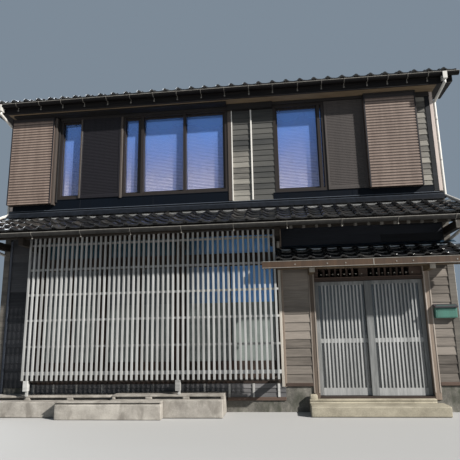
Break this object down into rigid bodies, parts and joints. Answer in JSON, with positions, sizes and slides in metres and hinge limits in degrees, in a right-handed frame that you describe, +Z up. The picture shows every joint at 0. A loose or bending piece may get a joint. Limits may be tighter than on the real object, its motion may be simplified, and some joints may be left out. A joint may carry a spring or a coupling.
{
  "type": "machiya townhouse",
  "caption": "Two-storey timber townhouse with a tiled roof, a pent roof, a lattice bay, shutter boxes and a porch over sliding lattice doors.",
  "frame": {"origin": "middle of the house's footprint, on the ground, on the underside of the ground floor slab", "axes": "+X along the front to the right as seen from the street, +Y from the front into the house, +Z up"},
  "size_m": [9.1494, 8.8877, 8.1207],
  "materials": {
    "base_stone": "weathered stone and mortar",
    "floor_slab": "trowelled concrete",
    "floor_boards": "sawn boards",
    "wall_boards": "weathered overlapping boards",
    "front_boards": "weathered overlapping boards",
    "bay_boards": "dark weathered boards",
    "dark_timber": "dark stained timber",
    "post_wood": "brown weathered timber",
    "roof_timber": "old planed timber",
    "eave_timber": "near-black painted timber",
    "lattice_wood": "silver-grey weathered timber",
    "door_wood": "silver-grey weathered timber",
    "bronze_metal": "dark bronze anodised",
    "shutter_metal": "ribbed painted sheet",
    "dark_shutter": "ribbed dark painted sheet",
    "gutter_metal": "dark coated sheet",
    "gutter_grey": "grey coated sheet",
    "gutter_brown": "reddish brown coated sheet",
    "flashing_metal": "dark blue-grey sheet",
    "white_pipe": "off-white plastic",
    "roof_tile": "black glazed",
    "window_glass": "clear",
    "frosted_glass": "clear above, frosted below",
    "door_glass": "dim",
    "blind_slats": "white painted slats",
    "step_stone": "cream stone and mortar",
    "ledge_stone": "grey rough stone",
    "letterbox_metal": "dull green and dark roof"
  },
  "bodies": {
    "house": {"foundation": "base_stone", "ground_floor": "floor_slab", "upper_floor": "floor_boards", "left_wall": "wall_boards", "right_wall": "wall_boards", "back_wall": "wall_boards", "back_window_frames": "bronze_metal", "back_glass": "window_glass", "front_corner_wall": "bay_boards", "bay_panel": "bay_boards", "bay_frame": "dark_timber", "bay_sashes": "dark_timber", "bay_glass": "frosted_glass", "door_left_wall": "front_boards", "door_right_wall": "front_boards", "over_door_wall": "bay_boards", "upper_front_wall": "front_boards", "upper_window_frames": "bronze_metal", "upper_glass": "window_glass", "window_blinds": "blind_slats", "shutter_boxes": "shutter_metal", "storm_shutters": "dark_shutter", "roof_deck": "roof_timber", "front_roof_tiles": "roof_tile", "back_roof_tiles": "roof_tile", "ridge": "roof_tile", "eave_boards": "eave_timber", "gable_boards": "eave_timber", "upper_gutters": "gutter_metal", "downpipes": "white_pipe", "lower_roof_beams": "roof_timber", "lower_roof_deck": "roof_timber", "lower_roof_tiles": "roof_tile", "lower_roof_flashing": "flashing_metal", "lower_gutter": "gutter_grey", "porch_roof_frame": "roof_timber", "porch_roof_tiles": "roof_tile", "porch_gutter": "gutter_brown", "lattice": "lattice_wood", "lattice_brackets": "post_wood", "door_frame": "post_wood", "door_sill": "step_stone", "entrance_steps": "step_stone", "letterbox": "letterbox_metal", "ledge_stones": "ledge_stone"},
    "left_leaf": {"left_door": "door_wood", "left_door_glass": "door_glass"},
    "right_leaf": {"right_door": "door_wood", "right_door_glass": "door_glass"}
  },
  "joints": [
    {"name": "left_leaf_slide", "type": "slide", "parent": "house", "child": "left_leaf", "axis": [1, 0, 0], "range_m": [0, 0.883]},
    {"name": "right_leaf_slide", "type": "slide", "parent": "house", "child": "right_leaf", "axis": [-1, 0, 0], "range_m": [0, 0.883]}
  ]
}
